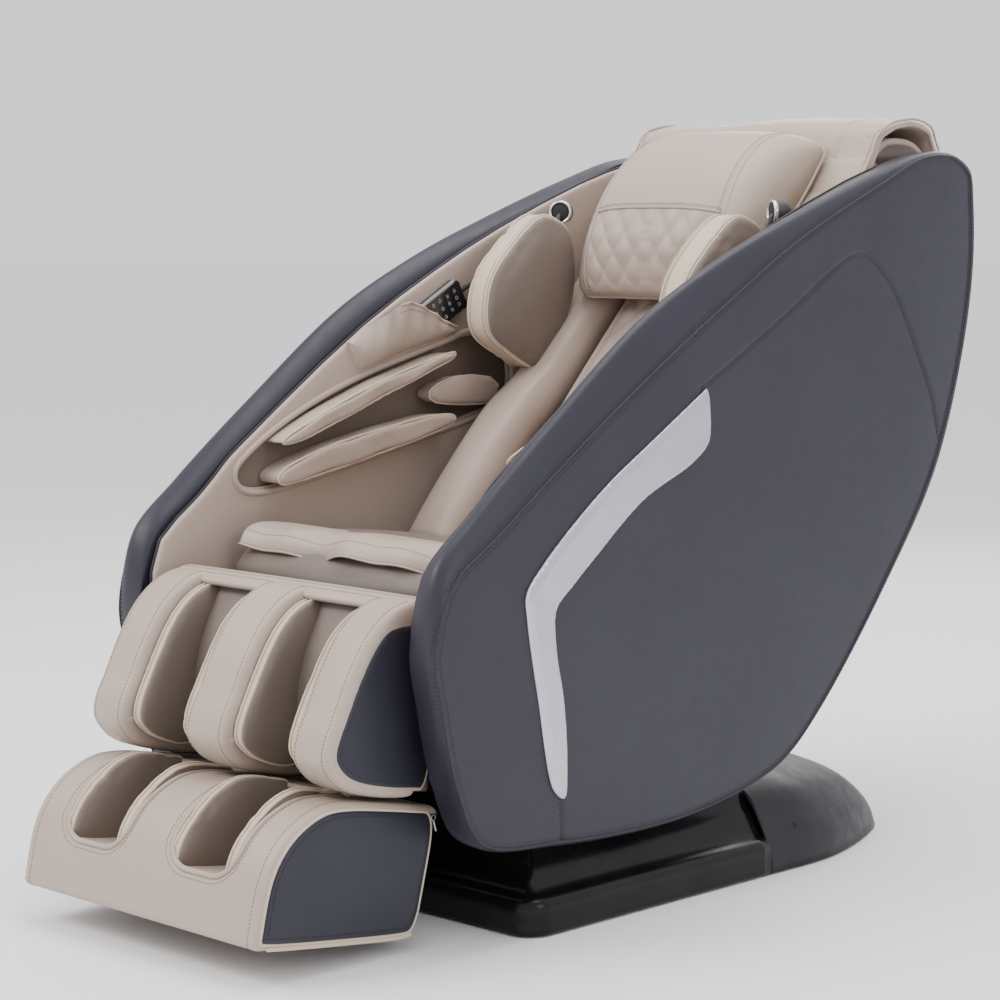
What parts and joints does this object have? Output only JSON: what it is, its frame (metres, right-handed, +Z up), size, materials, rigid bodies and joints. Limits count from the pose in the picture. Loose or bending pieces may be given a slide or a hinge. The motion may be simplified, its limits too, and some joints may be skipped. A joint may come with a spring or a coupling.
{
  "type": "massage chair",
  "caption": "Full-body massage chair: a tilting capsule of two upholstered side shells with seat, reclining back, flip-up head pillow and a lifting leg unit on a low base.",
  "frame": {"origin": "on the floor under the tilt axis, midway between the side shells", "axes": "+Z up, the sitter faces -Y, +X is the sitter's left"},
  "size_m": [0.7928, 1.6897, 1.318],
  "materials": {
    "shell_leatherette": "satin",
    "taupe_leatherette": "satin",
    "dark_taupe_leatherette": "satin",
    "slate_leatherette": "satin",
    "cream_gusset": "satin",
    "silver_trim": "satin",
    "gloss_black": "gloss",
    "satin_black": "satin",
    "base_plastic": "matte",
    "painted_steel": "satin",
    "zinc_steel": "satin",
    "rubber": "matte",
    "key_rubber": "matte",
    "cord_black": "satin",
    "chrome_ring": "gloss"
  },
  "bodies": {
    "base": {"base_frame": "painted_steel", "floor_plate": "base_plastic", "base_skirt": "gloss_black", "base_rear_cover": "satin_black", "power_inlet": "satin_black"},
    "power_switch": {"power_switch": "key_rubber"},
    "wheel_left": {"wheel_left": "rubber"},
    "wheel_right": {"wheel_right": "rubber"},
    "tilt_motor": {"tilt_motor": "satin_black"},
    "tilt_rod": {"tilt_rod": "zinc_steel"},
    "capsule": {"shell_left": "shell_leatherette", "shell_right": "shell_leatherette", "trim_left": "silver_trim", "trim_right": "silver_trim", "arm_panel_left": "dark_taupe_leatherette", "arm_panel_right": "dark_taupe_leatherette", "arm_lip_left": "taupe_leatherette", "arm_lip_right": "taupe_leatherette", "arm_upper_pad_left": "taupe_leatherette", "arm_upper_pad_right": "taupe_leatherette", "arm_lower_pad_left": "taupe_leatherette", "arm_lower_pad_right": "taupe_leatherette", "elbow_pad_left": "taupe_leatherette", "elbow_pad_right": "taupe_leatherette", "remote_pocket": "taupe_leatherette", "remote": "gloss_black", "remote_cord": "cord_black", "cord_gland": "satin_black", "seat_frame": "painted_steel", "seat_cushion": "dark_taupe_leatherette", "seat_bolster": "dark_taupe_leatherette", "seat_flap": "taupe_leatherette"},
    "recline_motor": {"recline_motor": "satin_black"},
    "recline_rod": {"recline_rod": "zinc_steel"},
    "legrest_motor": {"legrest_motor": "satin_black"},
    "legrest_rod": {"legrest_rod": "zinc_steel"},
    "backrest": {"back_frame": "painted_steel", "back_cover": "slate_leatherette", "back_pad": "taupe_leatherette", "back_bolster_left": "taupe_leatherette", "back_bolster_right": "taupe_leatherette", "shoulder_wing_left": "dark_taupe_leatherette", "shoulder_wing_right": "dark_taupe_leatherette", "speaker_left": "chrome_ring", "speaker_right": "chrome_ring", "top_flap": "taupe_leatherette"},
    "carriage": {"massage_carriage": "satin_black"},
    "rollers": {"massage_rollers": "rubber"},
    "pillow": {"head_pillow": "taupe_leatherette"},
    "legrest": {"calf_pad": "taupe_leatherette", "calf_side_left": "slate_leatherette", "calf_side_right": "slate_leatherette"},
    "footrest": {"foot_pad": "taupe_leatherette", "foot_side_left": "slate_leatherette", "foot_side_right": "slate_leatherette", "foot_rails": "zinc_steel"},
    "key_1": {"remote_key_1": "key_rubber"},
    "key_2": {"remote_key_2": "key_rubber"},
    "key_3": {"remote_key_3": "key_rubber"},
    "key_4": {"remote_key_4": "key_rubber"}
  },
  "joints": [
    {"name": "capsule_tilt", "type": "hinge", "parent": "base", "child": "capsule", "pos_m": [0, 0, 0.45], "axis": [-1, 0, 0], "range_deg": [0, 20]},
    {"name": "tilt_motor_swing", "type": "hinge", "parent": "base", "child": "tilt_motor", "pos_m": [0, -0.38, 0.072], "axis": [-1, 0, 0], "range_deg": [-2.84, 0.5]},
    {"name": "tilt_rod_slide", "type": "slide", "parent": "tilt_motor", "child": "tilt_rod", "axis": [0, 0.1544, 0.988], "range_m": [-0.001, 0.1163]},
    {"name": "back_recline", "type": "hinge", "parent": "capsule", "child": "backrest", "pos_m": [0, -0.12, 0.455], "axis": [-1, 0, 0], "range_deg": [0, 12]},
    {"name": "recline_motor_swing", "type": "hinge", "parent": "capsule", "child": "recline_motor", "pos_m": [0, -0.062, 0.3], "axis": [-1, 0, 0], "range_deg": [-0.5, 9.4]},
    {"name": "recline_rod_slide", "type": "slide", "parent": "recline_motor", "child": "recline_rod", "axis": [0, 0.5767, 0.817], "range_m": [-0.031, 0.001]},
    {"name": "legrest_lift", "type": "hinge", "parent": "capsule", "child": "legrest", "pos_m": [0, -0.64, 0.5], "axis": [-1, 0, 0], "range_deg": [0, 80]},
    {"name": "legrest_motor_swing", "type": "hinge", "parent": "capsule", "child": "legrest_motor", "pos_m": [0.11, -0.277, 0.368], "axis": [-1, 0, 0], "range_deg": [-0.5, 16.94]},
    {"name": "legrest_rod_slide", "type": "slide", "parent": "legrest_motor", "child": "legrest_rod", "axis": [0, -0.9956, -0.0933], "range_m": [-0.001, 0.1729]},
    {"name": "foot_extend", "type": "slide", "parent": "legrest", "child": "footrest", "axis": [0, -0.1741, -0.9847], "range_m": [0, 0.12]},
    {"name": "pillow_flip", "type": "hinge", "parent": "backrest", "child": "pillow", "pos_m": [0, 0.44, 1.286], "axis": [-1, 0, 0], "range_deg": [0, 130]},
    {"name": "carriage_travel", "type": "slide", "parent": "backrest", "child": "carriage", "axis": [0, 0.6989, 0.7153], "range_m": [0, 0.5]},
    {"name": "roller_spin", "type": "hinge", "parent": "carriage", "child": "rollers", "pos_m": [0, -0.02189, 0.53762], "axis": [1, 0, 0], "continuous": true},
    {"name": "wheel_left_spin", "type": "hinge", "parent": "base", "child": "wheel_left", "pos_m": [0.17, 0.47, 0.031], "axis": [1, 0, 0], "continuous": true},
    {"name": "wheel_right_spin", "type": "hinge", "parent": "base", "child": "wheel_right", "pos_m": [-0.17, 0.47, 0.031], "axis": [1, 0, 0], "continuous": true},
    {"name": "power_switch_rock", "type": "hinge", "parent": "base", "child": "power_switch", "pos_m": [0.083, 0.5585, 0.033], "axis": [0, 0, 1], "range_deg": [-6, 6]},
    {"name": "key_1_press", "type": "slide", "parent": "capsule", "child": "key_1", "axis": [-1, 0, 0], "range_m": [0, 0.001], "stiffness_N_per_m": 1000},
    {"name": "key_2_press", "type": "slide", "parent": "capsule", "child": "key_2", "axis": [-1, 0, 0], "range_m": [0, 0.001], "stiffness_N_per_m": 1000},
    {"name": "key_3_press", "type": "slide", "parent": "capsule", "child": "key_3", "axis": [-1, 0, 0], "range_m": [0, 0.001], "stiffness_N_per_m": 1000},
    {"name": "key_4_press", "type": "slide", "parent": "capsule", "child": "key_4", "axis": [-1, 0, 0], "range_m": [0, 0.001], "stiffness_N_per_m": 1000}
  ],
  "couplings": [
    {"joint": "tilt_motor_swing", "follows": "capsule_tilt", "ratio": -0.11678},
    {"joint": "tilt_rod_slide", "follows": "capsule_tilt", "m_per_rad": 0.33044},
    {"joint": "recline_motor_swing", "follows": "back_recline", "ratio": 0.7416},
    {"joint": "recline_rod_slide", "follows": "back_recline", "m_per_rad": -0.14338},
    {"joint": "legrest_motor_swing", "follows": "legrest_lift", "ratio": 0.20548},
    {"joint": "legrest_rod_slide", "follows": "legrest_lift", "m_per_rad": 0.12312},
    {"joint": "foot_extend", "follows": "legrest_lift", "m_per_rad": 0.0859}
  ]
}
